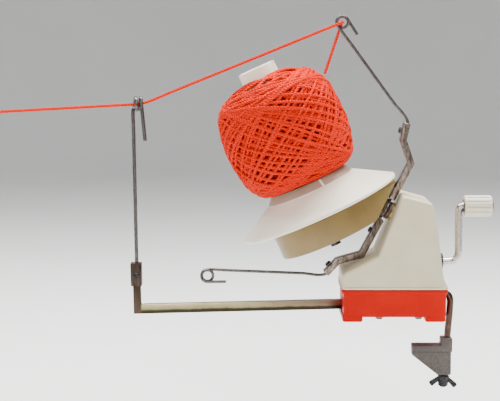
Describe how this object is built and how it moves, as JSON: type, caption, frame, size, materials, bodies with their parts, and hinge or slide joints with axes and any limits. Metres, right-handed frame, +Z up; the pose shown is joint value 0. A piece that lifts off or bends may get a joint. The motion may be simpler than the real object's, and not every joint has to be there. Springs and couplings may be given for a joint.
{
  "type": "ball winder",
  "caption": "Hand-cranked yarn ball winder that clamps to a table edge, with a spinning flyer, a leaning bobbin cone and a guide arm.",
  "frame": {"origin": "centre of the underside of the clamp-side foot rail, on the table top", "axes": "+X towards the crank, +Z up, Y along the crank housing's depth"},
  "size_m": [0.4087, 0.132, 0.2993],
  "materials": {
    "orange_plastic": "glossy moulded polystyrene, orange-red",
    "cream_plastic": "satin moulded plastic, warm cream",
    "white_plastic": "satin moulded plastic, ivory white",
    "case_plastic": "aged cream plastic, slightly translucent",
    "nickel_plate": "nickel-plated pressed steel",
    "dark_steel": "dark oiled steel",
    "black_metal": "black oxide",
    "zinc_plate": "yellow-passivated zinc on folded steel",
    "cast_metal": "grey-painted cast iron",
    "bronze": "sintered bronze",
    "nylon": "natural nylon",
    "orange_yarn": "plied wool yarn"
  },
  "bodies": {
    "base": {"base_tray": "orange_plastic", "housing_cover": "cream_plastic", "cover_screw_near_1": "dark_steel", "cover_screw_near_2": "dark_steel", "cover_screw_far_1": "dark_steel", "cover_screw_far_2": "dark_steel", "inner_plate": "dark_steel", "outer_plate": "dark_steel", "inner_bush": "bronze", "outer_bush": "bronze", "crank_bush": "black_metal", "flyer_bush": "bronze", "inner_shaft": "nickel_plate", "shaft_nut": "dark_steel", "gear_case": "case_plastic", "case_lid": "case_plastic", "spindle": "nickel_plate", "spindle_nut": "black_metal", "spindle_clip": "dark_steel", "guide_bar": "zinc_plate", "guide_screw": "dark_steel", "guide_sleeve": "dark_steel", "sleeve_screw": "black_metal", "guide_wire": "dark_steel", "clamp_rod": "dark_steel", "clamp_rod_nut": "dark_steel", "yarn_lead": "orange_yarn", "yarn_end_knot": "orange_yarn"},
    "crank": {"crank_rod": "nickel_plate", "drive_gear": "nylon", "gear_pin": "dark_steel"},
    "handle": {"crank_handle": "white_plastic", "handle_washer": "dark_steel", "handle_retainer": "dark_steel"},
    "flyer": {"flyer_shaft": "nickel_plate", "drive_pinion": "nylon", "flyer_hub": "dark_steel", "flyer_crossbar": "nickel_plate", "flyer_arm_upper": "nickel_plate", "flyer_arm_lower": "nickel_plate", "hub_collar": "dark_steel", "flyer_wire_upper": "nickel_plate", "flyer_wire_lower": "nickel_plate", "arm_screw_upper": "black_metal", "arm_screw_lower": "black_metal", "arm_nut_upper": "dark_steel", "arm_nut_lower": "dark_steel", "wire_clamp_upper": "black_metal", "wire_clamp_lower": "black_metal", "bobbin_pinion": "nylon", "yarn_to_ball": "orange_yarn", "yarn_to_guide": "orange_yarn"},
    "bobbin": {"bobbin_gear": "nylon", "winding_cone": "white_plastic", "tube_boss": "nylon", "bobbin_tube": "white_plastic", "yarn_ball": "orange_yarn"},
    "jaw": {"clamp_jaw": "cast_metal"},
    "wing_nut": {"wing_nut": "black_metal"}
  },
  "joints": [
    {"name": "crank_turn", "type": "hinge", "parent": "base", "child": "crank", "pos_m": [0, 0, 0.0448], "axis": [1, 0, 0], "continuous": true},
    {"name": "handle_spin", "type": "hinge", "parent": "crank", "child": "handle", "pos_m": [0.0377, 0, 0.0893], "axis": [1, 0, 0], "continuous": true},
    {"name": "flyer_spin", "type": "hinge", "parent": "base", "child": "flyer", "pos_m": [-0.03771, 0, 0.08705], "axis": [-0.8829, 0, 0.4695], "continuous": true, "deforming": ["yarn_to_ball", "yarn_to_guide"]},
    {"name": "bobbin_spin", "type": "hinge", "parent": "base", "child": "bobbin", "pos_m": [-0.07835, 0, 0.06099], "axis": [-0.4163, 0, 0.9092], "continuous": true},
    {"name": "jaw_slide", "type": "slide", "parent": "base", "child": "jaw", "axis": [0.0785, 0, 0.9969], "range_m": [-0.0051, 0.0161]},
    {"name": "wing_nut_turn", "type": "hinge", "parent": "jaw", "child": "wing_nut", "pos_m": [0.0099, 0, -0.0528], "axis": [0.0785, 0, 0.9969], "range_deg": [-2300, 7250]}
  ],
  "couplings": [
    {"joint": "flyer_spin", "follows": "crank_turn", "ratio": 3},
    {"joint": "bobbin_spin", "follows": "crank_turn", "ratio": -0.6},
    {"joint": "wing_nut_turn", "follows": "jaw_slide", "rad_per_m": 7854}
  ]
}
